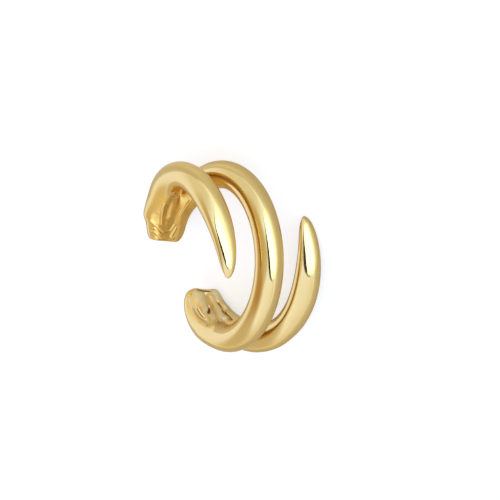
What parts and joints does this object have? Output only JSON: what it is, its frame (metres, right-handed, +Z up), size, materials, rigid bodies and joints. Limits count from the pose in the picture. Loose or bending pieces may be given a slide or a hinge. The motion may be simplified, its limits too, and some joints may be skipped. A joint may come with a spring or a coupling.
{
  "type": "ear cuff",
  "caption": "Gold claw ear cuff in one cast piece: a C-shaped band between two claws that wind round the same ring to rounded points, fused to it at two blunt ends. It lies on its side.",
  "frame": {"origin": "the middle of the underside of its box, on the surface that it lies on", "axes": "+Z is up with the cuff lying on its side; the front of the ring, where the claws' points are, is towards -Y and the slot for the ear towards +Y"},
  "size_m": [0.0142, 0.0126, 0.0076],
  "materials": {
    "gold": "polished"
  },
  "bodies": {
    "root": {"cuff": "gold"}
  },
  "joints": []
}
